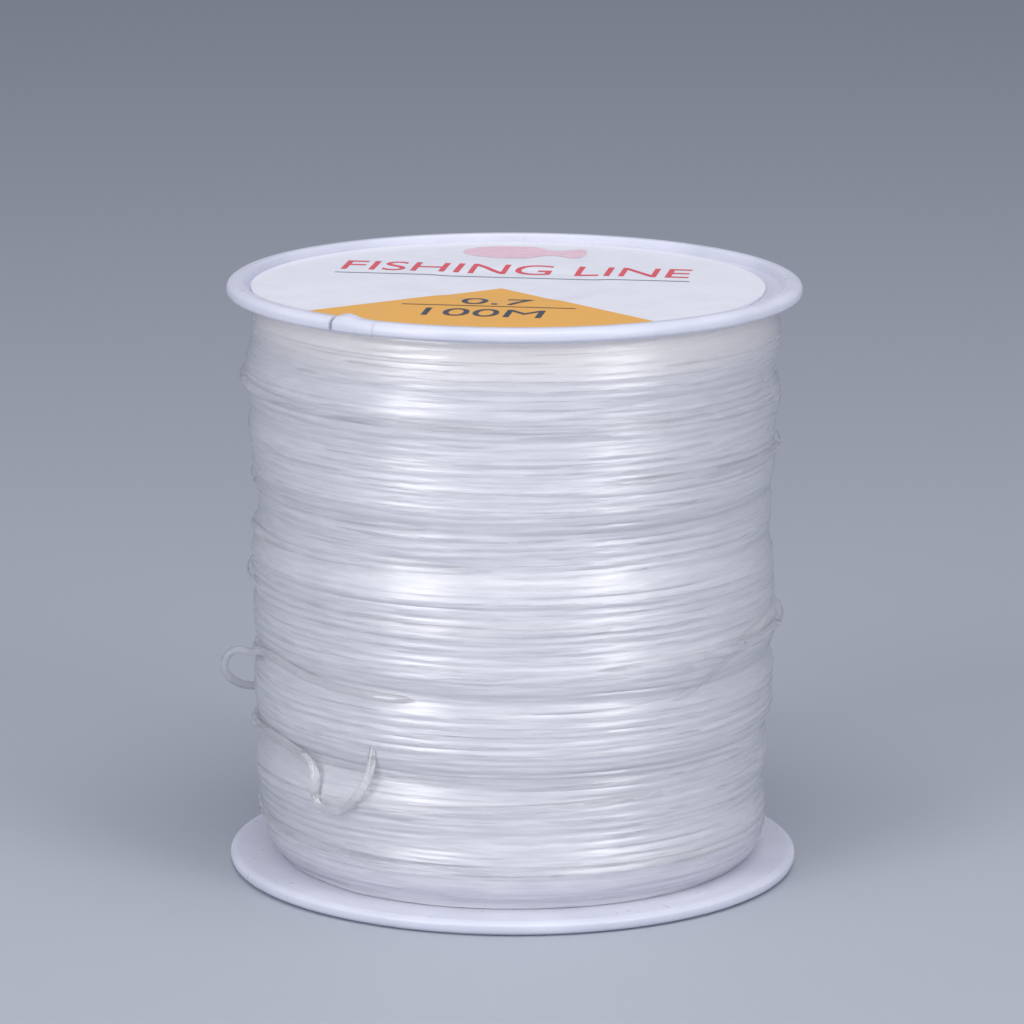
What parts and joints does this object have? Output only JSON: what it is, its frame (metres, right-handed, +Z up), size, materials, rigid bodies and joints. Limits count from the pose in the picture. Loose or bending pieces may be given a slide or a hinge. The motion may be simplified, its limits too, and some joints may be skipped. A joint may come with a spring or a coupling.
{
  "type": "fishing line spool",
  "caption": "Flanged plastic spool wound full of clear monofilament, with a hollow hub, a sprung line catch in the upper rim and a round paper label.",
  "frame": {"origin": "on the spool's axis, in the plane that the lower flange's rim stands on", "axes": "+Z up along the spool's axis, from the lower flange to the labelled upper flange; the line catch and the front slack turn face -Y"},
  "size_m": [0.0478, 0.047, 0.0493],
  "materials": {
    "spool_plastic": "satin",
    "label_paper": "satin",
    "clear_line": "gloss"
  },
  "bodies": {
    "spool": {"lower_flange": "spool_plastic", "core_barrel": "spool_plastic", "upper_flange": "spool_plastic", "top_label": "label_paper", "line_winding": "clear_line", "line_loop_side": "clear_line", "line_loop_front": "clear_line"},
    "line_catch": {"line_catch_tongue": "spool_plastic"}
  },
  "joints": [
    {"name": "line_catch_flex", "type": "hinge", "parent": "spool", "child": "line_catch", "pos_m": [-0.01072, -0.0199, 0.0484], "axis": [0.4741, 0.8805, 0], "range_deg": [0, 12], "stiffness_Nm_per_rad": 0.01}
  ]
}
